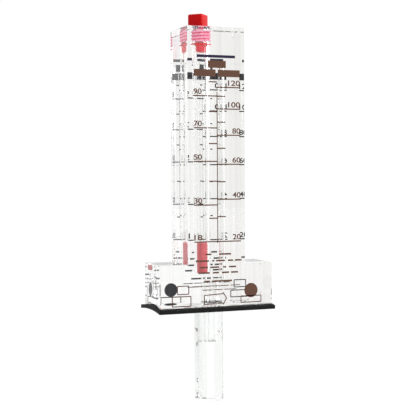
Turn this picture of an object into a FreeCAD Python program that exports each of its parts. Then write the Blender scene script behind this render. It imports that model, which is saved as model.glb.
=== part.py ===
import FreeCAD, Part
import math
import os

# Clear acrylic pitot-tube flow meter, millimetres.
# +X is the flow direction, the scale faces -Y, +Z is up. The origin is the middle of the saddle
# pad's underside, where the crown of the pipe bears.

# Acrylic block: tower and base are machined from one piece
tower_width = 38.1
block_depth = 30.0
block_height = 172.2
base_length = 74.3
base_height = 26.3
block_edge_break = 0.35
saddle_radius = 48.0

# Rubber pad under the base, a flat sheet with a slight bend
pad_length = 76.2
pad_width = 38.1
pad_thickness = 2.3
pad_bend_radius = 128.0
pad_shift_x = -0.6
pad_hole_clearance = 0.9
pad_seat_gap = 0.03

# Pitot bar: chamfered square bar cemented into the base
bar_width = 15.875
bar_corner_chamfer = 3.3
bar_tip_depth = 59.0
bar_socket_depth = 12.0
bar_end_break = 0.3
cement_gap = 0.03

# Impact side of the bar faces the flow, static side faces away from it
sensing_centre_depth = 35.0
sensing_inner_offset = 11.3
sensing_outer_offset = 20.3
sensing_hole_diameter = 3.0
impact_bore_diameter = 3.6
impact_bore_x = -5.0
impact_bore_end_wall = 2.2
static_bore_diameter = 7.1
static_bore_x = 1.35
static_bore_depth = 21.8
static_hole_diameter = 3.0
static_hole_depth = 17.0

# Metering bore and float
metering_x = -6.05
float_diameter = 10.4
float_length = 18.8
float_clearance = 0.1
float_seat_gap = 0.05
float_edge_break = 0.4
float_groove_height = 1.6
float_groove_depth = 0.25
float_groove_width = 0.4
metering_floor_height = 20.3
metering_top_diameter = 11.8

# Return path: gallery above the float's travel, bore down to the socket, slot to the static bore
return_bore_diameter = 4.2
return_bore_x = 7.2
return_bore_floor_rise = 1.0
link_slot_depth = 2.0
link_slot_end_x = 7.5
gallery_diameter = 3.2
gallery_drop = 22.0
pin_clearance = 0.02
pin_setback = 0.6

# Threaded plug with its nose and seal ring; 1/2-13 thread shown at its major diameter
plug_thread_diameter = 12.7
plug_thread_clearance = 0.08
plug_neck_diameter = 11.6
plug_neck_length = 1.9
plug_thread_end = 9.2
plug_hub_diameter = 9.4
plug_hub_end = 11.3
plug_nose_diameter = 10.2
plug_nose_end = 14.6
plug_nose_radius = 0.6
plug_head_width = 10.0
plug_head_height = 8.8
plug_head_corner_radius = 1.5
plug_head_top_break = 0.7
plug_head_turn = 45.0
plug_head_gap = 0.1
plug_bore_depth = 11.6
plug_bore_mouth_chamfer = 0.8
seal_cord_diameter = 1.5
seal_hub_clearance = 0.05

# Cutters run this far past the faces they open; edges are picked to within the tolerance
cut_overrun = 1.0
edge_tolerance = 0.001

# Worked-out levels
pad_sag_at_block = pad_bend_radius - math.sqrt(pad_bend_radius ** 2 - (block_depth / 2) ** 2)
block_bottom = pad_thickness - pad_sag_at_block + pad_seat_gap
block_top = block_bottom + block_height
shoulder_level = block_bottom + base_height
saddle_rise = saddle_radius - math.sqrt(saddle_radius ** 2 - (block_depth / 2) ** 2)
saddle_crown = block_bottom + saddle_rise
socket_top = saddle_crown + bar_socket_depth
metering_floor = block_bottom + metering_floor_height
plug_bore_floor = block_top - plug_bore_depth
gallery_level = block_top - gallery_drop

UP = FreeCAD.Vector(0, 0, 1)
ALONG_X = FreeCAD.Vector(1, 0, 0)


def centred_box(length, width, low, high, x=0.0):
    corner = FreeCAD.Vector(x - length / 2, -width / 2, low)
    return Part.makeBox(length, width, high - low, corner)


def upright_cylinder(diameter, low, high, x=0.0):
    return Part.makeCylinder(diameter / 2, high - low, FreeCAD.Vector(x, 0, low), UP)


def cross_cylinder(diameter, start_x, end_x, level):
    base = FreeCAD.Vector(start_x, 0, level)
    return Part.makeCylinder(diameter / 2, end_x - start_x, base, ALONG_X)


def chamfered_square(width, chamfer, low, high):
    """Upright bar, square with its four long corners cut off."""
    half = width / 2
    flat = half - chamfer
    corners = [
        (flat, -half), (half, -flat), (half, flat), (flat, half),
        (-flat, half), (-half, flat), (-half, -flat), (-flat, -half),
    ]
    points = [FreeCAD.Vector(x, y, low) for x, y in corners]
    face = Part.Face(Part.makePolygon(points + [points[0]]))
    return face.extrude(FreeCAD.Vector(0, 0, high - low))


def turned(profile, x=0.0):
    """Solid of revolution about the upright line at x, from (radius, height) corners."""
    points = [FreeCAD.Vector(x + radius, 0, height) for radius, height in profile]
    face = Part.Face(Part.makePolygon(points + [points[0]]))
    return face.revolve(FreeCAD.Vector(x, 0, 0), UP, 360)


def edges_between(solid, low, high):
    """Edges whose middle lies between two levels, ends included."""
    return [edge for edge in solid.Edges if low <= edge.CenterOfMass.z <= high]


def edges_at(solid, level):
    """Edges that lie flat in one level."""
    near = edges_between(solid, level - edge_tolerance, level + edge_tolerance)
    return [edge for edge in near if edge.BoundBox.ZLength < edge_tolerance]


def upright_edges(solid):
    return [edge for edge in solid.Edges if edge.BoundBox.ZLength > edge_tolerance]


def block_blank():
    tower = centred_box(tower_width, block_depth, block_bottom, block_top)
    base = centred_box(base_length, block_depth, block_bottom, shoulder_level)
    blank = tower.fuse(base).removeSplitter()
    above_saddle = edges_between(blank, block_bottom + block_edge_break, block_top)
    inner_corners = [
        edge for edge in edges_at(blank, shoulder_level)
        if abs(abs(edge.CenterOfMass.x) - tower_width / 2) < edge_tolerance
    ]
    broken = [edge for edge in above_saddle if not any(edge.isSame(other) for other in inner_corners)]
    return blank.makeChamfer(block_edge_break, broken)


def saddle_cutter():
    start = FreeCAD.Vector(-base_length, 0, saddle_crown - saddle_radius)
    return Part.makeCylinder(saddle_radius, 2 * base_length, start, ALONG_X)


def metering_bore():
    floor_radius = float_diameter / 2 + float_clearance
    return Part.makeCone(
        floor_radius, metering_top_diameter / 2, plug_bore_floor - metering_floor,
        FreeCAD.Vector(metering_x, 0, metering_floor), UP,
    )


def plug_bore():
    radius = plug_thread_diameter / 2 + plug_thread_clearance
    mouth = radius + plug_bore_mouth_chamfer
    return turned([
        (0, plug_bore_floor), (radius, plug_bore_floor),
        (radius, block_top - plug_bore_mouth_chamfer), (mouth, block_top),
        (mouth, block_top + cut_overrun), (0, block_top + cut_overrun),
    ], metering_x)


def link_slot():
    """Slot in the socket's ceiling that joins the bar's static bore to the return bore."""
    low, high = socket_top - cut_overrun, socket_top + link_slot_depth
    middle = (static_bore_x + link_slot_end_x) / 2
    run = centred_box(link_slot_end_x - static_bore_x, return_bore_diameter, low, high, middle)
    return run.fuse(upright_cylinder(return_bore_diameter, low, high, static_bore_x))


def block_passages():
    wall_x = -tower_width / 2 - cut_overrun
    inlet_low = socket_top - cut_overrun
    inlet = upright_cylinder(
        impact_bore_diameter, inlet_low, metering_floor + cut_overrun, impact_bore_x)
    return_low = socket_top + return_bore_floor_rise
    return_bore = upright_cylinder(return_bore_diameter, return_low, gallery_level, return_bore_x)
    gallery = cross_cylinder(gallery_diameter, wall_x, return_bore_x, gallery_level)
    return [inlet, metering_bore(), plug_bore(), return_bore, link_slot(), gallery]


def meter_body():
    body = block_blank().cut(saddle_cutter())
    socket = chamfered_square(
        bar_width + 2 * cement_gap, bar_corner_chamfer,
        block_bottom - cut_overrun, socket_top + cement_gap)
    for cutter in [socket] + block_passages():
        body = body.cut(cutter)
    return body


def pitot_bar():
    bar = chamfered_square(bar_width, bar_corner_chamfer, -bar_tip_depth, socket_top)
    bar = bar.makeChamfer(bar_end_break, edges_at(bar, -bar_tip_depth))
    high = socket_top + cut_overrun
    impact = upright_cylinder(
        impact_bore_diameter, -bar_tip_depth + impact_bore_end_wall, high, impact_bore_x)
    static = upright_cylinder(static_bore_diameter, -static_bore_depth, high, static_bore_x)
    offsets = [sensing_outer_offset, sensing_inner_offset, -sensing_inner_offset, -sensing_outer_offset]
    holes = [
        cross_cylinder(sensing_hole_diameter, -bar_width, impact_bore_x, offset - sensing_centre_depth)
        for offset in offsets
    ]
    static_hole = cross_cylinder(static_hole_diameter, static_bore_x, bar_width, -static_hole_depth)
    for cutter in [impact, static, static_hole] + holes:
        bar = bar.cut(cutter)
    return bar


def gallery_pin():
    """Cemented pin that closes the drilled gallery beside the metering bore."""
    wall_x = -tower_width / 2
    share = (gallery_level - metering_floor) / (plug_bore_floor - metering_floor)
    floor_radius = float_diameter / 2 + float_clearance
    bore_radius = floor_radius + share * (metering_top_diameter / 2 - floor_radius)
    end_x = metering_x - bore_radius - pin_setback
    return cross_cylinder(gallery_diameter - 2 * pin_clearance, wall_x, end_x, gallery_level)


def bent_sheet(low_radius, high_radius, centre):
    """Slice of a wide tube along X, cut to the pad's length and width."""
    start = FreeCAD.Vector(pad_shift_x - pad_length / 2, 0, centre)
    outer = Part.makeCylinder(high_radius, pad_length, start, ALONG_X)
    inner = Part.makeCylinder(low_radius, pad_length, start, ALONG_X)
    keep = centred_box(pad_length, pad_width, -pad_width, pad_width, pad_shift_x)
    return outer.cut(inner).common(keep)


def saddle_gasket():
    centre = pad_thickness - pad_bend_radius
    sheet = bent_sheet(pad_bend_radius - pad_thickness, pad_bend_radius, centre)
    window = chamfered_square(
        bar_width + 2 * pad_hole_clearance, bar_corner_chamfer, -pad_width, pad_width)
    return sheet.cut(window)


def plug_head():
    low = block_top + plug_head_gap
    head = centred_box(plug_head_width, plug_head_width, low, low + plug_head_height)
    head = head.makeFillet(plug_head_corner_radius, upright_edges(head))
    head = head.makeChamfer(plug_head_top_break, edges_at(head, low + plug_head_height))
    head.rotate(FreeCAD.Vector(0, 0, 0), UP, plug_head_turn)
    head.translate(FreeCAD.Vector(metering_x, 0, 0))
    return head


def plug_shank():
    thread = plug_thread_diameter / 2
    neck = plug_neck_diameter / 2
    hub = plug_hub_diameter / 2
    nose = plug_nose_diameter / 2
    runout = thread - neck
    tip = block_top - plug_nose_end
    return turned([
        (0, block_top + plug_head_gap), (neck, block_top + plug_head_gap),
        (neck, block_top - plug_neck_length), (thread, block_top - plug_neck_length - runout),
        (thread, block_top - plug_thread_end + runout), (neck, block_top - plug_thread_end),
        (hub, block_top - plug_thread_end), (hub, block_top - plug_hub_end),
        (nose, block_top - plug_hub_end), (nose, tip + plug_nose_radius),
        (nose - plug_nose_radius, tip), (0, tip),
    ], metering_x)


def top_plug():
    return plug_head().fuse(plug_shank()).removeSplitter()


def plug_seal():
    cord = seal_cord_diameter / 2
    ring_radius = plug_hub_diameter / 2 + seal_hub_clearance + cord
    level = block_top - (plug_thread_end + plug_hub_end) / 2
    return Part.makeTorus(ring_radius, cord, FreeCAD.Vector(metering_x, 0, level), UP)


def float_body():
    low = metering_floor + float_seat_gap
    top = low + float_length
    radius = float_diameter / 2
    groove = low + float_groove_height
    return turned([
        (0, low), (radius - float_edge_break, low), (radius, low + float_edge_break),
        (radius, groove - float_groove_width / 2), (radius - float_groove_depth, groove),
        (radius, groove + float_groove_width / 2), (radius, top - float_edge_break),
        (radius - float_edge_break, top), (0, top),
    ], metering_x)


def export(name, shape):
    if shape.ShapeType != "Solid":
        shape = shape.Solids[0] if len(shape.Solids) == 1 else shape
    print(name, shape.isValid(), round(shape.Volume, 2), shape.BoundBox)
    shape.exportStep("parts/" + name + ".step")


os.makedirs("parts", exist_ok=True)
export("meter_body", meter_body())
export("pitot_bar", pitot_bar())
export("gallery_pin", gallery_pin())
export("saddle_gasket", saddle_gasket())
export("top_plug", top_plug())
export("plug_seal", plug_seal())
export("indicator_float", float_body())
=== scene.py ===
import math
import bpy
import bmesh
from mathutils import Matrix, Vector


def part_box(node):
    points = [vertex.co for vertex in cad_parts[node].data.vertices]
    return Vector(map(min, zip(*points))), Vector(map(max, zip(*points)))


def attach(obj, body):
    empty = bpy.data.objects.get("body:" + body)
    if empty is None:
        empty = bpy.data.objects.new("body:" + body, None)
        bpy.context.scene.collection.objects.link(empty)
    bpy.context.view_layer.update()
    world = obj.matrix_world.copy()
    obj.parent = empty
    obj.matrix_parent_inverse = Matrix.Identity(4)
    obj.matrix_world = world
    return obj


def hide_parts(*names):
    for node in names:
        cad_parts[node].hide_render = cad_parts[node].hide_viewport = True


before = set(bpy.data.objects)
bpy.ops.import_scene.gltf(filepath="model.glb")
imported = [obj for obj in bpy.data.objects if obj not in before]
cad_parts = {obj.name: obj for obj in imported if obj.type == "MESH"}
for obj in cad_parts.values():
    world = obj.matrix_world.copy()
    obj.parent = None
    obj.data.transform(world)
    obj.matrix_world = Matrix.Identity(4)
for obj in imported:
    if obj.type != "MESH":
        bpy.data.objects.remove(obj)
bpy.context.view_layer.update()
mm = 0.001
print("frame loaded")


# Levels from the frame

bodyLow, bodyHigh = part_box("meter_body")
barLow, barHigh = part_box("pitot_bar")
pinLow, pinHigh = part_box("gallery_pin")
padLow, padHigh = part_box("saddle_gasket")
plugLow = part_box("top_plug")[0]
sealLow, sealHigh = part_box("plug_seal")
floatLow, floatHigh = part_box("indicator_float")
blockTop = bodyHigh[2]
blockBottom = bodyLow[2]
front = bodyLow[1]
meteringX = (floatLow[0] + floatHigh[0]) / 2
galleryLevel = (pinLow[2] + pinHigh[2]) / 2

# Node trees: a socket that does arithmetic, and one way to add any other node

class Wire:
    def __init__(self, tree, socket):
        self.tree = tree
        self.socket = socket

    def math(self, operation, *others):
        return self.tree.node("ShaderNodeMath", {"operation": operation}, dict(enumerate((self, *others))))

    def __add__(self, other):
        return self.math("ADD", other)

    def __sub__(self, other):
        return self.math("SUBTRACT", other)

    def __mul__(self, other):
        return self.math("MULTIPLY", other)

    def __truediv__(self, other):
        return self.math("DIVIDE", other)

    def __rsub__(self, other):
        return self.tree.node("ShaderNodeMath", {"operation": "SUBTRACT"}, {0: other, 1: self})

    __radd__ = __add__
    __rmul__ = __mul__


class Tree:
    def __init__(self, nodeTree):
        self.nodes = nodeTree.nodes
        self.links = nodeTree.links

    def plug(self, value, socket):
        if isinstance(value, Wire):
            self.links.new(value.socket, socket)
        else:
            socket.default_value = value

    def node(self, kind, settings=None, values=None, out=0):
        made = self.nodes.new(kind)
        for name, value in (settings or {}).items():
            if name == "stops":
                fillRamp(made.color_ramp, value)
            else:
                setattr(made, name, value)
        for name, value in (values or {}).items():
            self.plug(value, made.inputs[name])
        return Wire(self, made.outputs[out]) if len(made.outputs) else made


def fillRamp(ramp, stops):
    while len(ramp.elements) < len(stops):
        ramp.elements.new(0.5)
    for element, (place, colour) in zip(ramp.elements, stops):
        element.position = place
        element.color = (*colour, 1)


def newMaterial(name, constants):
    material = bpy.data.materials.new(name)
    material.use_nodes = True
    tree = Tree(material.node_tree)
    shader = material.node_tree.nodes["Principled BSDF"]
    for socket, value in constants.items():
        shader.inputs[socket].default_value = value
    where = tree.node("ShaderNodeTexCoord", out="Object")
    return material, tree, shader, where


# Materials

# The acrylic's tint changes by place, as painted shade: a grey painted on the back face, darker and warmer to the
# right, and the bar below the pad a little greyer, with painted shade on its corners, its upstream side and in its
# holes; above the bar, darker vertical streaks of painted shade
acrylicLook = {
    # the back-face greys are painted shade, darker and warmer to the right
    "ior": 1.491, "clear": (0.97, 0.975, 0.97), "haze": (0.95, 0.945, 0.93), "warmHaze": (0.795, 0.78, 0.75),
    # the bar's corner, side and hole colours are painted shade
    "bar": (0.97, 0.985, 0.975), "corner": (0.86, 0.87, 0.86), "cornerFrom": 12.42 * mm,
    "sideHigh": (0.55, 0.555, 0.55), "sideLow": (0.77, 0.78, 0.77), "sideFrom": 7.75 * mm, "sideLevel": 46 * mm,
    "hole": (0.22, 0.225, 0.22), "holeFrom": 6.9 * mm, "cupLevel": -21.8 * mm, "cupBand": 0.22 * mm,
    # levels where the painted shade of the back face, the right side and the bar begins and blends
    "faceOver": 0.1 * mm, "hazeFrom": 14.5 * mm, "hazeOver": 0.4 * mm, "hazeAbove": 1.4 * mm,
    "warmFrom": -6 * mm, "warmOver": 14 * mm,
    # darker vertical streaks of painted shade
    "streakScale": (620.0, 620.0, 3.0), "streakDetail": 2.0, "streakFrom": 0.42, "streakOver": 0.3,
    "streakDepth": 0.3, "streak": (0.5, 0.49, 0.47),
    "polished": (0.02, 60.0), "bored": (0.08, 900.0),    # roughness and the size of its grain
}
inkLook = {
    "brown": (0.083, 0.040, 0.026), "slate": (0.012, 0.013, 0.018), "navy": (0.014, 0.010, 0.032),
    "faceFrom": 0.002 * mm, "faceOver": 0.001 * mm, "grain": 1500.0, "wear": 0.5, "wornGain": 1.5, "wornLift": 0.01,
}
# nose: a lighter red, a painted highlight; glow: emission on thread and nose that stands for light from behind
plugLook = {
    "red": (0.54, 0.0, 0.001), "deep": (0.46, 0.0, 0.001), "nose": (0.86, 0.035, 0.055), "noseFrom": 9.15 * mm,
    "glow": 0.22, "specular": 0.12, "roughness": 0.2,
}
# the plug's thread zone: light pink on the crests is a painted reflection, dark red in the roots painted shade
threadShadingLook = {
    "pale": (1.0, 0.5, 0.66), "root": (0.72, 0.08, 0.17), "crestRadius": 6.4 * mm, "depth": 0.9 * mm,
    "low": 9.0 * mm, "high": 1.2 * mm, "fade": 0.4 * mm, "blotch": 420.0, "blotchDepth": 0.6,
    "rootEase": 0.1 * mm, "rootOver": 0.05 * mm, "roughness": 0.4,
}
floatLook = {"red": (1.0, 0.115, 0.145), "deep": (0.95, 0.085, 0.11), "roughness": 0.3, "texture": 0.2}
siliconeLook = {"red": (0.95, 0.03, 0.035), "deep": (0.85, 0.015, 0.02), "roughness": 0.25, "texture": 0.1}
mouldLook = {"cloud": 180.0, "fine": 2200.0, "fineRoughness": 0.12, "fineDepth": 0.00002, "plugTexture": 0.15}
rubberLook = {
    "black": (0.003, 0.003, 0.003), "grey": (0.008, 0.008, 0.008), "cloud": 250.0, "fine": 3000.0,
    "roughness": 0.55, "fineRoughness": 0.2, "specular": 0.12, "texture": 0.4, "fineDepth": 0.00004,
}


def mixColour(tree, factor, first, second):
    ends = [value if isinstance(value, Wire) else (*value, 1) for value in (first, second)]
    return tree.node("ShaderNodeMix", {"data_type": "RGBA"}, {"Factor": factor, 6: ends[0], 7: ends[1]}, out=2)


def noise(tree, where, scale, detail=3.0):
    return tree.node("ShaderNodeTexNoise", None, {"Vector": where, "Scale": scale, "Detail": detail})


def bump(tree, shader, height, strength, distance):
    made = tree.node("ShaderNodeBump", None, {"Strength": strength, "Distance": distance, "Height": height})
    tree.plug(made, shader.inputs["Normal"])


def mask(value, start, width):
    return ((value - start) / width).math("MINIMUM", 1.0).math("MAXIMUM", 0.0)


def axisValue(tree, where, axis):
    split = tree.node("ShaderNodeSeparateXYZ", None, {0: where})
    return Wire(tree, split.socket.node.outputs[axis])


def streaks(tree, where):
    stretched = tree.node("ShaderNodeMapping", None, {"Vector": where, "Scale": acrylicLook["streakScale"]})
    return noise(tree, stretched, 1.0, acrylicLook["streakDetail"])


def barTint(tree, where, holes):
    a = acrylicLook
    across, level = axisValue(tree, where, "X"), axisValue(tree, where, "Z")
    diagonal = across.math("ABSOLUTE") + axisValue(tree, where, "Y").math("ABSOLUTE")
    # painted shade on the bar: darker on its chamfered corners, and much darker on its upstream side near the pad,
    # less further down
    side = mixColour(tree, mask(0 - level, 0.0, a["sideLevel"]), a["sideHigh"], a["sideLow"])
    tint = mixColour(tree, mask(diagonal, a["cornerFrom"], a["faceOver"]), a["bar"], a["corner"])
    tint = mixColour(tree, mask(0 - across, a["sideFrom"], a["faceOver"]), tint, side)
    if not holes:
        return tint
    # painted shade inside the impact holes and in a thin band at the end of the static bore
    cupShade = (level - a["cupLevel"]).math("ABSOLUTE").math("LESS_THAN", a["cupBand"])
    dark = mask(0 - across, a["holeFrom"], a["faceOver"]).math("MAXIMUM", cupShade)
    return mixColour(tree, dark, tint, a["hole"])


def acrylic(name, finish, holes=False):
    roughness, grainScale = finish
    a = acrylicLook
    material, tree, shader, where = newMaterial(name, {"Transmission Weight": 1.0, "IOR": a["ior"]})
    # painted shade: a grey on the back face, darker and warmer to the right
    behind = mask(axisValue(tree, where, "Y"), a["hazeFrom"], a["hazeOver"])
    above = mask(axisValue(tree, where, "Z"), a["hazeAbove"], a["hazeOver"])
    warmShade = mask(axisValue(tree, where, "X"), a["warmFrom"], a["warmOver"])
    haze = mixColour(tree, warmShade, a["haze"], a["warmHaze"])
    forward = mixColour(tree, above, barTint(tree, where, holes), a["clear"])
    tint = mixColour(tree, behind, forward, haze)
    # darker vertical streaks of painted shade on the block above the bar
    lines = mask(streaks(tree, where), a["streakFrom"], a["streakOver"])
    shaded = mixColour(tree, lines * a["streakDepth"] * above, tint, a["streak"])
    tree.plug(shaded, shader.inputs["Base Color"])
    tree.plug(noise(tree, where, grainScale) * roughness, shader.inputs["Roughness"])
    return material


def inkMaterial(name, face, inner):
    # the outer skin of the print has its own colour; the rest of its depth is seen through the acrylic
    look = inkLook
    material, tree, shader, where = newMaterial(name, {"Roughness": 0.6, "Specular IOR Level": 0.1})
    depth = axisValue(tree, where, "Y").math("ABSOLUTE")
    outer = mask(depth, -front - look["faceFrom"], look["faceOver"])
    coverage = noise(tree, where, look["grain"])
    lighter = tuple(min(1.0, part * look["wornGain"] + look["wornLift"]) for part in face)
    worn = mixColour(tree, coverage * look["wear"], face, lighter)
    tree.plug(mixColour(tree, outer, inner, worn), shader.inputs["Base Color"])
    return material


def mouldedRed(name, look):
    m = mouldLook
    material, tree, shader, where = newMaterial(name, {"Specular IOR Level": 0.5})
    cloud = noise(tree, where, m["cloud"])
    tree.plug(mixColour(tree, cloud, look["deep"], look["red"]), shader.inputs["Base Color"])
    fine = noise(tree, where, m["fine"])
    tree.plug(look["roughness"] + fine * m["fineRoughness"], shader.inputs["Roughness"])
    bump(tree, shader, fine, look["texture"], m["fineDepth"])
    return material


def plugRed():
    # red plastic; on the thread, light pink painted on the crests is a painted reflection and dark red in the roots
    # painted shade; the nose is painted a lighter red, a painted highlight; thread and nose glow a little to stand
    # for light from behind
    p, t, m = plugLook, threadShadingLook, mouldLook
    material, tree, shader, where = newMaterial("moulded_red", {
        "Specular IOR Level": p["specular"], "Emission Strength": p["glow"]})
    body = mixColour(tree, noise(tree, where, m["cloud"]), p["deep"], p["red"])
    level = axisValue(tree, where, "Z")
    across, along = axisValue(tree, where, "X") - meteringX, axisValue(tree, where, "Y")
    radius = (across * across + along * along).math("SQRT")
    root = t["crestRadius"] - t["depth"]
    crest = mask(radius, root, t["depth"])
    blotch = noise(tree, where, t["blotch"])
    # light pink on the crests is a painted reflection, dark red in the thread roots painted shade
    threadShading = mixColour(tree, crest * (t["blotchDepth"] + blotch * t["blotchDepth"]), t["root"], t["pale"])
    threadZone = mask(level, blockTop - t["low"], t["fade"]) * (1 - mask(level, blockTop - t["high"], t["fade"]))
    threadZone = threadZone * mask(radius, root - t["rootEase"], t["rootOver"])
    # the nose gets a lighter red, a painted highlight, and glows
    nose = mask(blockTop - p["noseFrom"] - level, 0.0, t["fade"])
    for socket, plain in (("Base Color", body), ("Emission Color", (0, 0, 0))):
        tree.plug(mixColour(tree, nose, mixColour(tree, threadZone, plain, threadShading), p["nose"]), shader.inputs[socket])
    fine = noise(tree, where, m["fine"])
    tree.plug(p["roughness"] + fine * m["fineRoughness"] + threadZone * t["roughness"], shader.inputs["Roughness"])
    bump(tree, shader, fine, m["plugTexture"], m["fineDepth"])
    return material


def rubberSheet():
    r = rubberLook
    material, tree, shader, where = newMaterial("black_rubber_sheet", {"Specular IOR Level": r["specular"]})
    cloud = noise(tree, where, r["cloud"])
    tree.plug(mixColour(tree, cloud, r["black"], r["grey"]), shader.inputs["Base Color"])
    fine = noise(tree, where, r["fine"])
    tree.plug(r["roughness"] + fine * r["fineRoughness"], shader.inputs["Roughness"])
    bump(tree, shader, fine, r["texture"], r["fineDepth"])
    return material


# Mesh helpers

def meshObject(name, mesh, *materials):
    piece = bpy.data.objects.new(name, mesh)
    bpy.context.collection.objects.link(piece)
    for material in materials:
        mesh.materials.append(material)
    return piece


def fromBmesh(name, bm, *materials):
    bmesh.ops.recalc_face_normals(bm, faces=bm.faces)
    mesh = bpy.data.meshes.new(name)
    bm.to_mesh(mesh)
    bm.free()
    return meshObject(name, mesh, *materials)


def smooth(piece, degrees=30.0):
    piece.data.shade_smooth()
    piece.data.set_sharp_from_angle(angle=math.radians(degrees))


def applied(piece):
    bpy.context.view_layer.update()
    result = bpy.data.meshes.new_from_object(piece.evaluated_get(bpy.context.evaluated_depsgraph_get()))
    piece.modifiers.clear()
    piece.data = result
    return piece


def prism(name, outline, low, high, material):
    bm = bmesh.new()
    face = bm.faces.new([bm.verts.new((x, y, low)) for x, y in outline])
    grown = bmesh.ops.extrude_face_region(bm, geom=[face])
    corners = [item for item in grown["geom"] if isinstance(item, bmesh.types.BMVert)]
    bmesh.ops.translate(bm, verts=corners, vec=(0, 0, high - low))
    return fromBmesh(name, bm, material)


def lathe(name, profile, x, material, segments=128, closed=False):
    bm = bmesh.new()
    rings = []
    for radius, height in profile:
        if radius == 0:
            rings.append([bm.verts.new((x, 0, height))])
            continue
        turns = [2 * math.pi * step / segments for step in range(segments)]
        rings.append([bm.verts.new((x + radius * math.cos(t), radius * math.sin(t), height)) for t in turns])
    pairs = list(zip(rings, rings[1:]))
    if closed:
        pairs.append((rings[-1], rings[0]))
    for lower, upper in pairs:
        for step in range(segments):
            after = (step + 1) % segments
            corners = [lower[step % len(lower)], lower[after % len(lower)],
                       upper[after % len(upper)], upper[step % len(upper)]]
            bm.faces.new(list(dict.fromkeys(corners)))
    return fromBmesh(name, bm, material)


def rounded(corner, before, after, radius, steps=6):
    corner, before, after = Vector(corner), Vector(before), Vector(after)
    one, two = (before - corner).normalized(), (after - corner).normalized()
    half = one.angle(two) / 2
    middle = corner + (one + two).normalized() * (radius / math.sin(half))
    start = corner + one * (radius / math.tan(half)) - middle
    sweep = math.pi - 2 * half
    turn = 1 if one.cross(two) < 0 else -1
    points = []
    for step in range(steps + 1):
        angle = turn * sweep * step / steps
        points.append(tuple(middle + Matrix.Rotation(angle, 2) @ start))
    return points


def healed(piece):
    bm = bmesh.new()
    bm.from_mesh(piece.data)
    bmesh.ops.remove_doubles(bm, verts=bm.verts, dist=0.001 * mm)
    bmesh.ops.dissolve_degenerate(bm, edges=bm.edges, dist=0.0005 * mm)
    bm.to_mesh(piece.data)
    bm.free()


def carve(target, cutters, operation="DIFFERENCE"):
    for cutter in cutters:
        step = target.modifiers.new("carve", "BOOLEAN")
        step.operation = operation
        step.solver = "EXACT"
        step.material_mode = "TRANSFER"
        step.object = cutter
        applied(target)
        healed(target)
        bpy.data.objects.remove(cutter)


def octagon(width, chamfer):
    half = width / 2
    flat = half - chamfer
    return [(flat, -half), (half, -flat), (half, flat), (flat, half),
            (-flat, half), (-half, flat), (-half, -flat), (-flat, -half)]


# Helical thread as a Geometry Nodes cylinder whose radius follows the helix

thread = {"pitch": 25.4 / 13 * mm, "around": 96, "perPitch": 20, "steepness": 1.3}


def newGeometryTree(name, inputs):
    group = bpy.data.node_groups.new(name, "GeometryNodeTree")
    group.interface.new_socket("Geometry", in_out="OUTPUT", socket_type="NodeSocketGeometry")
    for label, (kind, value) in inputs.items():
        socket = group.interface.new_socket(label, in_out="INPUT", socket_type=kind)
        if value is not None:
            socket.default_value = value
    tree = Tree(group)
    entry = group.nodes.new("NodeGroupInput")
    return group, tree, {label: Wire(tree, entry.outputs[label]) for label in inputs}


def runTree(piece, group, values):
    step = piece.modifiers.new("build", "NODES")
    step.node_group = group
    for item in group.interface.items_tree:
        if item.in_out == "INPUT" and item.name in values:
            step[item.identifier] = values[item.name]
    return applied(piece)


def threadTree():
    group, tree, given = newGeometryTree("helical_thread", {
        "Radius": ("NodeSocketFloat", 0.0055), "Height": ("NodeSocketFloat", 0.0009),
        "Pitch": ("NodeSocketFloat", 0.00195), "Phase": ("NodeSocketFloat", 0.0),
        "Bottom": ("NodeSocketFloat", 0.0), "Length": ("NodeSocketFloat", 0.01),
        "Thread Low": ("NodeSocketFloat", 0.0), "Thread High": ("NodeSocketFloat", 0.01),
        "Runout": ("NodeSocketFloat", 0.0009), "Flat": ("NodeSocketFloat", 0.2),
        "Mouth Radius": ("NodeSocketFloat", 0.0), "Mouth Level": ("NodeSocketFloat", 0.0),
        "Centre X": ("NodeSocketFloat", 0.0),
        "Around": ("NodeSocketInt", 96), "Rings": ("NodeSocketInt", 60),
        "Material": ("NodeSocketMaterial", None)})
    blank = tree.node("GeometryNodeMeshCylinder", {"fill_type": "NGON"}, {
        "Vertices": given["Around"], "Side Segments": given["Rings"],
        "Radius": given["Radius"], "Depth": given["Length"]})
    place = tree.node("GeometryNodeInputPosition")
    x = tree.node("ShaderNodeSeparateXYZ", None, {0: place})
    y = Wire(tree, x.socket.node.outputs[1])
    z = Wire(tree, x.socket.node.outputs[2])
    level = z + given["Length"] * 0.5 + given["Bottom"]
    angle = y.math("ARCTAN2", x)
    wave = (level / given["Pitch"] - angle / (2 * math.pi) + given["Phase"]).math("PINGPONG", 0.5) * 2
    ridge = (wave * thread["steepness"] - given["Flat"]).math("MINIMUM", 1.0).math("MAXIMUM", 0.0)
    inside = (level - given["Thread Low"]).math("MINIMUM", given["Thread High"] - level)
    fade = (inside / given["Runout"]).math("MINIMUM", 1.0).math("MAXIMUM", 0.0)
    ridged = given["Radius"] + given["Height"] * ridge * fade
    radius = ridged.math("MAXIMUM", given["Mouth Radius"] - (given["Mouth Level"] - level).math("MAXIMUM", 0.0))
    spot = tree.node("ShaderNodeCombineXYZ", None, {
        0: radius * angle.math("COSINE") + given["Centre X"], 1: radius * angle.math("SINE"), 2: level})
    moved = tree.node("GeometryNodeSetPosition", None, {"Geometry": blank, "Position": spot})
    whole = tree.node("GeometryNodeRealizeInstances", None, {0: moved})
    dressed = tree.node("GeometryNodeSetMaterial", None, {"Geometry": whole, "Material": given["Material"]})
    tree.node("NodeGroupOutput", None, {0: dressed})
    return group


def threadedRod(name, material, low, high, values):
    piece = meshObject(name, bpy.data.meshes.new(name))
    rings = round((high - low) / thread["pitch"] * thread["perPitch"])
    return runTree(piece, threadNodes, {
        "Pitch": thread["pitch"], "Bottom": low, "Length": high - low, "Centre X": meteringX,
        "Around": thread["around"], "Rings": rings, "Material": material, **values})


threadNodes = threadTree()


# Clear acrylic: block, cemented bar and pin are optically one piece

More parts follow.
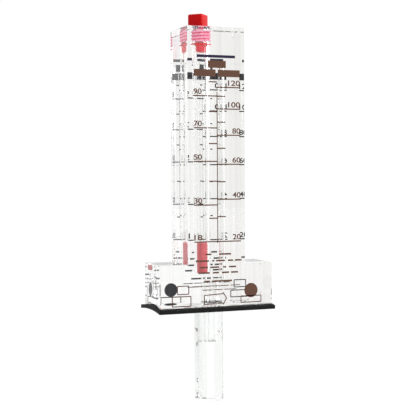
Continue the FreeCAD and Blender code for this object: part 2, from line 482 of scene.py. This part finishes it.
block = {
    "towerWidth": 38.1 * mm, "shoulder": 26.3 * mm, "edgeBreak": 0.35 * mm,
    "saddleRadius": 48.0 * mm, "saddleSegments": 720,
}
bar = {"cornerChamfer": 3.3 * mm, "endBreak": 0.3 * mm}
bores = {
    "segments": 192, "seamTurn": 0.0123,
    "meteringFloor": 20.3 * mm, "meteringLow": 10.6 * mm, "meteringHigh": 11.8 * mm,
    "plugRadius": 6.43 * mm, "plugDepth": 11.6 * mm, "plugMouth": 0.8 * mm,
    "threadDepth": 0.9 * mm, "threadEnd": 9.2 * mm,
    "impactX": -5.0 * mm, "impact": 3.6 * mm, "impactWall": 2.05 * mm,
    "staticX": 1.35 * mm, "static": 7.1 * mm, "staticDepth": 21.8 * mm,
    "returnX": 7.2 * mm, "return": 4.2 * mm, "returnRise": 1.0 * mm, "linkSlot": 2.0 * mm, "linkEndX": 7.5 * mm,
    "gallery": 3.2 * mm, "galleryEase": 0.02 * mm,
    "staticHoleLevel": -17.0 * mm,
    "holes": 3.0 * mm, "holeCentre": -35.0 * mm, "holeOffsets": [20.3 * mm, 11.3 * mm, -11.3 * mm, -20.3 * mm],
    "slotEase": 0.04 * mm, "slotSteps": 24,
}


def chamfered(bm, edges, width):
    bmesh.ops.bevel(bm, geom=edges, offset=width, segments=1, affect="EDGES", profile=0.5)


def blankBlock(material):
    half, tower = bodyHigh[0], block["towerWidth"] / 2
    shoulder = blockBottom + block["shoulder"]
    outline = [(-half, blockBottom), (half, blockBottom), (half, shoulder), (tower, shoulder),
               (tower, blockTop), (-tower, blockTop), (-tower, shoulder), (-half, shoulder)]
    bm = bmesh.new()
    face = bm.faces.new([bm.verts.new((x, front, z)) for x, z in outline])
    grown = bmesh.ops.extrude_face_region(bm, geom=[face])
    corners = [item for item in grown["geom"] if isinstance(item, bmesh.types.BMVert)]
    bmesh.ops.translate(bm, verts=corners, vec=(0, -2 * front, 0))

    def kept(edge):
        middle = (edge.verts[0].co + edge.verts[1].co) / 2
        inner = abs(middle.z - shoulder) < 1e-6 and abs(abs(middle.x) - tower) < 1e-6
        return not inner and middle.z > blockBottom + block["edgeBreak"]

    chamfered(bm, [edge for edge in bm.edges if kept(edge)], block["edgeBreak"])
    return fromBmesh("clearBlock", bm, material)


def drilled(name, x, diameter, low, high, material, top=None):
    top = top or diameter
    return lathe(name, [(0, low), (diameter / 2, low), (top / 2, high), (0, high)], x, material,
                 bores["segments"])


def acrossDrill(name, diameter, startX, endX, level, material):
    made = drilled(name, 0.0, diameter, startX, endX, material)
    seam = Matrix.Rotation(bores["seamTurn"], 4, "Z")    # keeps its edges off those of the bore it meets
    made.data.transform(Matrix.Translation((0, 0, level)) @ Matrix.Rotation(math.pi / 2, 4, "Y") @ seam)
    return made


def clearBody():
    outer = acrylic("polished_acrylic", acrylicLook["polished"])
    # with holes, the bores get painted shade in the impact holes and at the end of the static bore
    inner = acrylic("bored_acrylic", acrylicLook["bored"], holes=True)
    body = blankBlock(outer)
    reach = 2 * bodyHigh[0]
    crown = blockBottom + block["saddleRadius"] - math.sqrt(block["saddleRadius"] ** 2 - front ** 2)
    saddle = lathe("saddleCutter", [(0, -reach), (block["saddleRadius"], -reach),
                                    (block["saddleRadius"], reach), (0, reach)], 0.0, outer,
                   block["saddleSegments"])
    saddle.data.transform(Matrix.Translation((0, 0, crown - block["saddleRadius"]))
                          @ Matrix.Rotation(math.pi / 2, 4, "Y"))
    carve(body, [saddle])

    width = barHigh[0] - barLow[0]
    stem = prism("stem", octagon(width, bar["cornerChamfer"]), barLow[2], barHigh[2] - 1 * mm, outer)
    bm = bmesh.new()
    bm.from_mesh(stem.data)
    chamfered(bm, [edge for edge in bm.edges if max(v.co.z for v in edge.verts) < barLow[2] + 1e-6],
              bar["endBreak"])
    bm.to_mesh(stem.data)
    bm.free()
    carve(body, [stem], "UNION")

    b = bores
    over = 1 * mm
    meteringFloor = blockBottom + b["meteringFloor"]
    plugFloor = blockTop - b["plugDepth"]
    tipFloor = barLow[2] + b["impactWall"]
    mouth = b["plugRadius"] + b["plugMouth"]
    halfSlot = b["return"] / 2
    slotOutline = [(b["linkEndX"], -halfSlot), (b["linkEndX"], halfSlot)]
    for step in range(b["slotSteps"] + 1):
        angle = math.pi * step / b["slotSteps"]
        slotOutline.append((b["staticX"] - halfSlot * math.sin(angle), halfSlot * math.cos(angle)))
    cutters = [
        drilled("metering", meteringX, b["meteringLow"], meteringFloor, plugFloor + over, inner,
                b["meteringHigh"]),
        threadedRod("plugBore", inner, plugFloor, blockTop + over, {
            "Radius": b["plugRadius"], "Height": -b["threadDepth"], "Phase": 0.0, "Runout": b["threadDepth"],
            "Thread Low": blockTop - b["threadEnd"], "Thread High": blockTop + 2 * over,
            "Mouth Radius": mouth, "Mouth Level": blockTop}),
        drilled("impact", b["impactX"], b["impact"], tipFloor, meteringFloor + over, inner),
        drilled("static", b["staticX"], b["static"], -b["staticDepth"], barHigh[2], inner),
        prism("linkSlot", slotOutline, barHigh[2] - over, barHigh[2] + b["linkSlot"], inner),
        drilled("returning", b["returnX"], b["return"] - b["slotEase"], barHigh[2] + b["returnRise"],
                galleryLevel, inner),
        acrossDrill("gallery", b["gallery"] - b["galleryEase"], pinHigh[0], b["returnX"], galleryLevel, inner),
        acrossDrill("staticHole", b["holes"], b["staticX"], width, b["staticHoleLevel"], inner),
    ]
    for count, offset in enumerate(b["holeOffsets"]):
        cutters.append(acrossDrill("impactHole%d" % count, b["holes"], -width, b["impactX"],
                                   b["holeCentre"] + offset, inner))
    carve(body, cutters)
    smooth(body)
    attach(body, "meter")
    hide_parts("meter_body", "pitot_bar", "gallery_pin")
    print("clear body", len(body.data.polygons))
    return body


clearBody()


# Red plug: moulded square head, helical thread, hub and nose

plug = {
    "headWidth": 10.0 * mm, "headHeight": 8.8 * mm, "cornerRadius": 1.5 * mm, "topRadius": 0.8 * mm,
    "footRadius": 0.25 * mm, "headTurn": 45.0, "headGap": 0.1 * mm, "sealant": 0.02 * mm,
    "neck": 5.8 * mm, "neckLength": 0.9 * mm, "threadEnd": 9.2 * mm, "hub": 4.7 * mm,
    "hubEnd": 11.3 * mm, "nose": 5.1 * mm, "noseRadius": 0.7 * mm,
    "intoHead": 0.5 * mm, "intoThread": 0.3 * mm, "neckSlope": 0.1 * mm,
}


def plugHead(material):
    bm = bmesh.new()
    bmesh.ops.create_cube(bm, size=1.0)
    bmesh.ops.scale(bm, verts=bm.verts, vec=(plug["headWidth"], plug["headWidth"], plug["headHeight"]))
    upright = [e for e in bm.edges if abs(e.verts[0].co.z - e.verts[1].co.z) > 1e-6]
    bmesh.ops.bevel(bm, geom=upright, offset=plug["cornerRadius"], segments=8, affect="EDGES", profile=0.5)
    top = [e for e in bm.edges if min(v.co.z for v in e.verts) > plug["headHeight"] / 2 - 1e-6]
    bmesh.ops.bevel(bm, geom=top, offset=plug["topRadius"], segments=5, affect="EDGES", profile=0.5)
    foot = [e for e in bm.edges if max(v.co.z for v in e.verts) < 1e-6 - plug["headHeight"] / 2]
    bmesh.ops.bevel(bm, geom=foot, offset=plug["footRadius"], segments=3, affect="EDGES", profile=0.5)
    low = blockTop + plug["headGap"]
    turned = Matrix.Rotation(math.radians(plug["headTurn"]), 4, "Z")
    bmesh.ops.transform(bm, matrix=Matrix.Translation((meteringX, 0, low + plug["headHeight"] / 2)) @ turned,
                        verts=bm.verts)
    return fromBmesh("plugHead", bm, material)


def topPlug():
    red = plugRed()
    p = plug
    root = bores["plugRadius"] - bores["threadDepth"] + p["sealant"]
    tip = plugLow[2]
    under = blockTop - p["neckLength"]
    threadLow = blockTop - p["threadEnd"]
    top, shank = blockTop + p["intoHead"], root - p["intoThread"]
    profile = [(0, top), (p["neck"], top), (p["neck"], under + p["neckSlope"]),
               (shank, under), (shank, threadLow), (p["hub"], threadLow),
               (p["hub"], blockTop - p["hubEnd"]), (p["nose"], blockTop - p["hubEnd"])]
    profile += rounded((p["nose"], tip), (p["nose"], blockTop - p["hubEnd"]), (0, tip), p["noseRadius"])
    profile.append((0, tip))
    core = lathe("core", profile, meteringX, red)
    screw = threadedRod("screw", red, threadLow, under, {
        "Radius": root, "Height": bores["threadDepth"], "Phase": 0.5, "Flat": 0.1,
        "Runout": bores["threadDepth"], "Thread Low": threadLow, "Thread High": under})
    head = plugHead(red)
    carve(core, [screw, head], "UNION")
    core.name = "threadedPlug"
    smooth(core, 35.0)
    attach(core, "plug")
    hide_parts("top_plug")
    print("plug", len(core.data.polygons))


topPlug()


# Red silicone ring on the hub

seal = {"squeeze": 1.22, "steps": 40, "play": 0.02 * mm}


def sealRing():
    silicone = mouldedRed("red_silicone_ring", siliconeLook)
    cord = (sealHigh[2] - sealLow[2]) / 2
    level = (sealHigh[2] + sealLow[2]) / 2
    outer = bores["plugRadius"] + plug["sealant"]    # the squeezed ring lies flat on the wall and the hub
    inner = plug["hub"] + seal["play"]
    half = (outer - inner) / 2
    profile = []
    for step in range(seal["steps"]):
        turn = 2 * math.pi * step / seal["steps"]
        reach = max(-half, min(half, half * seal["squeeze"] * math.cos(turn)))
        profile.append(((outer + inner) / 2 + reach, level + cord * math.sin(turn)))
    ring = lathe("sealRing", profile, meteringX, silicone, closed=True)
    smooth(ring, 60.0)
    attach(ring, "seal")
    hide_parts("plug_seal")


sealRing()


# Float

floatShape = {"edgeRadius": 0.45 * mm, "grooveHeight": 1.6 * mm, "grooveDepth": 0.25 * mm, "grooveWidth": 0.4 * mm}


def indicatorFloat():
    red = mouldedRed("turned_red_float", floatLook)
    f = floatShape
    radius = (floatHigh[0] - floatLow[0]) / 2
    low, top = floatLow[2], floatHigh[2]
    groove = low + f["grooveHeight"]
    profile = [(0, low)]
    profile += rounded((radius, low), (0, low), (radius, top), f["edgeRadius"])
    profile += [(radius, groove - f["grooveWidth"] / 2), (radius - f["grooveDepth"], groove),
                (radius, groove + f["grooveWidth"] / 2)]
    profile += rounded((radius, top), (radius, low), (0, top), f["edgeRadius"])
    profile.append((0, top))
    piece = lathe("turnedFloat", profile, meteringX, red)
    smooth(piece, 40.0)
    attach(piece, "float")
    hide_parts("indicator_float")


indicatorFloat()
print("red parts done")


# Rubber pad

pad = {"thickness": 2.3 * mm, "bendRadius": 128.0 * mm, "window": 17.675 * mm, "windowChamfer": 3.3 * mm,
       "cornerRadius": 0.6 * mm, "columns": 96, "rows": 48, "edgeSoftness": 0.12 * mm}


def rubberPad():
    rubber = rubberSheet()
    bm = bmesh.new()
    halfWidth = (padHigh[1] - padLow[1]) / 2
    length = padHigh[0] - padLow[0]
    middleX = (padHigh[0] + padLow[0]) / 2
    bmesh.ops.create_grid(bm, x_segments=pad["columns"], y_segments=pad["rows"], size=0.5)
    for vert in bm.verts:
        vert.co = Vector((middleX + vert.co.x * length, vert.co.y * 2 * halfWidth, 0))
    grown = bmesh.ops.extrude_face_region(bm, geom=list(bm.faces))
    upper = [item for item in grown["geom"] if isinstance(item, bmesh.types.BMVert)]
    bmesh.ops.translate(bm, verts=upper, vec=(0, 0, pad["thickness"]))
    piece = fromBmesh("rubberPad", bm, rubber)
    window = prism("window", octagon(pad["window"], pad["windowChamfer"]), -pad["thickness"],
                   2 * pad["thickness"], rubber)
    carve(piece, [window])
    crown = pad["thickness"] - pad["bendRadius"]
    bentHalfWidth = pad["bendRadius"] * math.sin(halfWidth / pad["bendRadius"])
    for vert in piece.data.vertices:
        x, y, z = vert.co
        reach = pad["bendRadius"] - pad["thickness"] + z
        angle = y / pad["bendRadius"]
        vert.co = (x, reach * math.sin(angle) * halfWidth / bentHalfWidth, crown + reach * math.cos(angle))
    soft = piece.modifiers.new("soft", "BEVEL")
    soft.width = pad["edgeSoftness"]
    soft.segments = 2
    soft.limit_method = "ANGLE"
    soft.angle_limit = math.radians(50)
    applied(piece)
    smooth(piece, 40.0)
    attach(piece, "meter")
    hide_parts("saddle_gasket")
    print("pad", len(piece.data.polygons))


rubberPad()


# Print on the front and back faces: every straight stroke is a thin box instanced on a point.
# The lines of both faces stand behind each other, so that the float is read without parallax.

printing = {
    "out": 0.01 * mm, "inside": 0.03 * mm, "line": 0.74 * mm, "spine": 0.55 * mm, "frame": 0.62 * mm,
    "spineX": 0.62 * mm, "spineTop": 132.2, "spineBottom": 39.3,
}
wideScale = {"numbers": {120: 135.1, 100: 121.8, 80: 105.7, 60: 87.8, 40: 66.2, 20: 40.2},
             "halves": [129.6, 113.7, 97.65, 77.05, 55.5]}
narrowScale = {"numbers": {90: 129.67, 70: 110.1, 50: 89.58, 30: 62.79, 18: 40.2},
               "halves": [138.3, 120.1, 100.5, 77.4, 54.6]}
scaleReach = {"left": -14.8 * mm, "right": 16.0 * mm, "halfLeft": -4.9 * mm, "halfRight": 6.0 * mm,
              "numberLeft": -14.8 * mm}
numerals = {"height": 3.45 * mm, "width": 2.7 * mm, "lift": 0.95 * mm, "thin": 0.02}
plates = {
    "bar": (-12.6, 153.1, 12.7, 154.8),
    "filled": [(-5.3, 146.9, 6.55, 151.3), (-14.6, 141.6, -0.2, 145.9), (1.25, 141.5, 15.8, 145.8)],
    "framed": [(-29.3, 1.1, -17.25, 7.1), (-25.9, 8.5, -18.6, 13.5), (15.9, 1.8, 29.5, 5.8)],
    "framedBehind": [(-28.9, 3.1, -16.9, 7.4), (-27.2, 9.4, -19.2, 14.0), (17.0, 1.0, 30.2, 4.8)],
    "disc": (22.7, 9.2, 4.5), "discBehind": (23.5, 9.3, 4.3),
    "arrow": [(-8.5, 1.6), (4.0, 2.0), (4.0, 1.2), (6.2, 5.0), (4.0, 8.6), (4.0, 7.8), (-8.5, 7.2)],
}
noteRows = [    # plain dashes where the notes stood: level, thickness, then the ends of each dash
    (32.4, 1.0, [(-7.6, -3.6), (1.4, 9.4)]),
    (28.4, 1.0, [(-13.8, -5.3), (-3.2, -1.7), (-0.6, 5.3), (7.3, 10.7), (12.0, 16.4)]),
    (24.4, 1.0, [(-11.2, -6.0), (-4.6, 1.3), (4.0, 6.0), (8.0, 12.7)]),
    (21.0, 1.0, [(-12.2, -4.7), (-2.7, 1.3), (3.3, 8.0), (9.3, 14.0)]),
    (15.8, 1.0, [(-8.6, -4.7), (-3.4, 9.9)]),
    (12.9, 0.5, [(-16.2, -9.4), (-8.6, 1.2), (2.0, 8.1), (8.9, 15.2)]),
    (10.5, 0.5, [(-9.6, -3.2), (-2.4, 3.9), (4.7, 12.6)]),
]
inkDepth = printing["out"] + printing["inside"]
inkShift = (printing["inside"] - printing["out"]) / 2


def strokeTree():
    group, tree, given = newGeometryTree("printed_strokes", {
        "Points": ("NodeSocketGeometry", None), "Material": ("NodeSocketMaterial", None)})
    unit = tree.node("GeometryNodeMeshCube", None, {"Size": (1, 1, 1)})
    size = tree.node("GeometryNodeInputNamedAttribute", {"data_type": "FLOAT_VECTOR"}, {"Name": "stroke"})
    tilt = tree.node("GeometryNodeInputNamedAttribute", {"data_type": "FLOAT"}, {"Name": "tilt"})
    turn = tree.node("ShaderNodeCombineXYZ", None, {1: tilt})
    laid = tree.node("GeometryNodeInstanceOnPoints", None, {
        "Points": given["Points"], "Instance": unit, "Scale": size, "Rotation": turn})
    whole = tree.node("GeometryNodeRealizeInstances", None, {0: laid})
    dressed = tree.node("GeometryNodeSetMaterial", None, {"Geometry": whole, "Material": given["Material"]})
    tree.node("NodeGroupOutput", None, {0: dressed})
    return group


strokeNodes = strokeTree()


def strokes(name, marks, material):
    mesh = bpy.data.meshes.new(name)
    mesh.from_pydata([(x, 0, z) for x, z, width, height, tilt in marks], [], [])
    mesh.attributes.new("stroke", "FLOAT_VECTOR", "POINT")
    mesh.attributes.new("tilt", "FLOAT", "POINT")
    for index, (x, z, width, height, tilt) in enumerate(marks):
        mesh.attributes["stroke"].data[index].vector = (width, inkDepth, height)
        mesh.attributes["tilt"].data[index].value = tilt
    return runTree(meshObject(name, mesh), strokeNodes, {"Material": material})


def line(startX, startZ, endX, endZ, width):
    run, rise = endX - startX, endZ - startZ
    return ((startX + endX) / 2, (startZ + endZ) / 2, math.hypot(run, rise), width, -math.atan2(rise, run))


def outline(points):
    placed = [(x * mm, z * mm) for x, z in points]
    return [line(*a, *b, printing["frame"]) for a, b in zip(placed, placed[1:] + placed[:1])]


def filled(box):
    x0, z0, x1, z1 = (value * mm for value in box)
    return ((x0 + x1) / 2, (z0 + z1) / 2, x1 - x0, z1 - z0, 0.0)


def numeral(text, x, z, alignRight, material):
    curve = bpy.data.curves.new("numeral", "FONT")
    curve.body = text
    curve.offset = numerals["thin"]
    curve.extrude = 0.5
    curve.resolution_u = 4
    holder = meshObject("numeral", curve)
    bpy.context.view_layer.update()
    mesh = bpy.data.meshes.new_from_object(holder.evaluated_get(bpy.context.evaluated_depsgraph_get()))
    bpy.data.objects.remove(holder)
    low = [min(v.co[axis] for v in mesh.vertices) for axis in range(2)]
    high = [max(v.co[axis] for v in mesh.vertices) for axis in range(2)]
    wide = numerals["width"] * len(text)
    grow = (wide / (high[0] - low[0]), numerals["height"] / (high[1] - low[1]))
    startX = x - wide if alignRight else x
    for vert in mesh.vertices:
        vert.co = (startX + (vert.co.x - low[0]) * grow[0], -vert.co.z * inkDepth,
                   z + (vert.co.y - low[1]) * grow[1])
    mesh.materials.clear()
    return meshObject("numeral", mesh, material)


def joined(name, parts, material):
    bm = bmesh.new()
    for part in parts:
        bm.from_mesh(part.data)
        bpy.data.objects.remove(part)
    bmesh.ops.remove_doubles(bm, verts=bm.verts, dist=0.0001 * mm)
    return fromBmesh(name, bm, material)


def onFace(piece, behind):
    turn = Matrix.Rotation(math.pi, 4, "Z") if behind else Matrix.Identity(4)
    piece.data.transform(turn @ Matrix.Translation((0, front + inkShift, blockBottom)))
    piece.name = piece.name + ("Back" if behind else "Front")
    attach(piece, "meter")


def flowScale(ink, behind):
    spineX = -printing["spineX"] if behind else printing["spineX"]
    left, right = (wideScale, narrowScale) if behind else (narrowScale, wideScale)
    low, high = printing["spineBottom"] * mm, printing["spineTop"] * mm
    marks = [line(spineX, low, spineX, high, printing["spine"])]
    numbers = []
    for scale, side in ((left, "left"), (right, "right")):
        onRight = side == "right"
        for value, height in scale["numbers"].items():
            z = height * mm
            reach = scaleReach[side]
            marks.append(line(min(spineX, reach), z, max(spineX, reach), z, printing["line"]))
            numberX = scaleReach["right"] if onRight else scaleReach["numberLeft"]
            numbers.append(numeral(str(value), numberX, z + numerals["lift"], onRight, ink))
        end = scaleReach["halfRight" if onRight else "halfLeft"]
        for height in scale["halves"]:
            marks.append(line(min(spineX, end), height * mm, max(spineX, end), height * mm, printing["line"]))
    onFace(strokes("scaleMarks", marks, ink), behind)
    onFace(joined("scaleNumbers", numbers, ink), behind)


def plainPlates(ink, navy, behind):
    onFace(strokes("titleBar", [filled(plates["bar"])], navy), behind)
    onFace(strokes("titlePlates", [filled(box) for box in plates["filled"]], ink), behind)
    dashes = [filled((x0, z - thick / 2, x1, z + thick / 2)) for z, thick, ends in noteRows for x0, x1 in ends]
    onFace(strokes("plainDashes", dashes, ink), behind)
    frames = []
    for x0, z0, x1, z1 in plates["framedBehind" if behind else "framed"]:
        frames += outline([(x0, z0), (x1, z0), (x1, z1), (x0, z1)])
    onFace(strokes("plainFrames", frames, ink), behind)
    if not behind:
        onFace(strokes("flowArrow", outline(plates["arrow"]), ink), behind)
    x, z, radius = plates["discBehind" if behind else "disc"]
    disc = lathe("plainDisc", [(0, -inkDepth / 2), (radius * mm, -inkDepth / 2),
                               (radius * mm, inkDepth / 2), (0, inkDepth / 2)], 0.0, ink, 64)
    disc.data.transform(Matrix.Translation((x * mm, 0, z * mm)) @ Matrix.Rotation(math.pi / 2, 4, "X"))
    onFace(disc, behind)


brownInk = inkMaterial("brown_ink", inkLook["brown"], inkLook["slate"])
navyInk = inkMaterial("navy_ink", inkLook["navy"], inkLook["navy"])
for behind in (False, True):
    flowScale(brownInk, behind)
    plainPlates(brownInk, navyInk, behind)
print("print done")


# Studio

studio = {
    "floorLevel": -200 * mm, "floorSize": 8.0, "floorTint": (0.727, 0.727, 0.727), "surround": 1.01,
    "cloudScale": 3.0, "cloudDepth": 0.2, "cloudTint": 0.99, "floorRoughness": 0.9,
    # broad parts of the surroundings that are darker or brighter: direction, cosines at edge and core, level
    "flags": [((-0.93, -0.36, 0.0), 0.5, 0.97, 0.86), ((0.93, 0.36, 0.1), 0.75, 0.95, 1.15),
              ((-0.36, -0.93, 0.1), 0.6, 0.97, 0.82)],
    "sun": ((0.75, -0.5, 0.45), 50.0, 2.9),    # towards it, its width in degrees, its strength
    "bounces": 64,    # light crosses many faces inside the acrylic
}


def studioFloor():
    material, tree, shader, where = newMaterial("pale_floor", {"Roughness": studio["floorRoughness"]})
    cloud = noise(tree, where, studio["cloudScale"]) * studio["cloudDepth"]
    tint = studio["floorTint"]
    darker = tuple(part * studio["cloudTint"] for part in tint)
    tree.plug(mixColour(tree, cloud, tint, darker), shader.inputs["Base Color"])
    bm = bmesh.new()
    bmesh.ops.create_grid(bm, x_segments=8, y_segments=8, size=studio["floorSize"])
    bmesh.ops.translate(bm, verts=bm.verts, vec=(0, 0, studio["floorLevel"]))
    floor = fromBmesh("floor", bm, material)


def studioWorld():
    world = bpy.data.worlds.new("softStudio")
    bpy.context.scene.world = world
    world.use_nodes = True
    tree = Tree(world.node_tree)
    where = tree.node("ShaderNodeTexCoord", out="Generated")
    shade = 1.0
    for direction, edge, core, dark in studio["flags"]:
        facing = tree.node("ShaderNodeVectorMath", {"operation": "DOT_PRODUCT"},
                           {0: where, 1: direction}, out="Value")
        inside = tree.node("ShaderNodeMapRange", {"interpolation_type": "SMOOTHSTEP"},
                           {"Value": facing, "From Min": edge, "From Max": core, "To Min": 1.0, "To Max": dark})
        shade = inside * shade
    background = world.node_tree.nodes["Background"]
    tree.plug(shade * studio["surround"], background.inputs["Color"])
    background.inputs["Strength"].default_value = 1.0


def daylight():
    direction, spread, strength = studio["sun"]
    data = bpy.data.lights.new("daylight", "SUN")
    data.energy = strength
    data.angle = math.radians(spread)
    lamp = bpy.data.objects.new("daylight", data)
    bpy.context.collection.objects.link(lamp)
    lamp.matrix_world = Vector(direction).to_track_quat("Z", "Y").to_matrix().to_4x4()


cameraPlace = {
    "target": (-0.002 * mm, 0.0, 61.95 * mm), "distance": 653.52 * mm, "yaw": 20.896, "pitch": 1.7275,
    "roll": -0.3414, "lens": 89.85, "sensor": 36.0,
}


def studioCamera():
    c = cameraPlace
    yaw, pitch, roll = (math.radians(c[name]) for name in ("yaw", "pitch", "roll"))
    away = Vector((-math.sin(yaw) * math.cos(pitch), -math.cos(yaw) * math.cos(pitch), math.sin(pitch)))
    right = Vector((math.cos(yaw), -math.sin(yaw), 0))
    up = away.cross(right)
    rolledRight = right * math.cos(roll) + up * math.sin(roll)
    rolledUp = up * math.cos(roll) - right * math.sin(roll)
    data = bpy.data.cameras.new("camera")
    data.lens = c["lens"]
    data.sensor_width = c["sensor"]
    data.clip_start = 0.01
    camera = bpy.data.objects.new("camera", data)
    bpy.context.collection.objects.link(camera)
    spin = Matrix((rolledRight, rolledUp, away)).transposed().to_4x4()
    camera.matrix_world = Matrix.Translation(Vector(c["target"]) + away * c["distance"]) @ spin
    bpy.context.scene.camera = camera


studioFloor()
studioWorld()
daylight()
studioCamera()
bpy.context.scene.view_settings.view_transform = "Standard"
for limit in ("max_bounces", "transmission_bounces", "glossy_bounces"):
    setattr(bpy.context.scene.cycles, limit, studio["bounces"])
print("studio done")
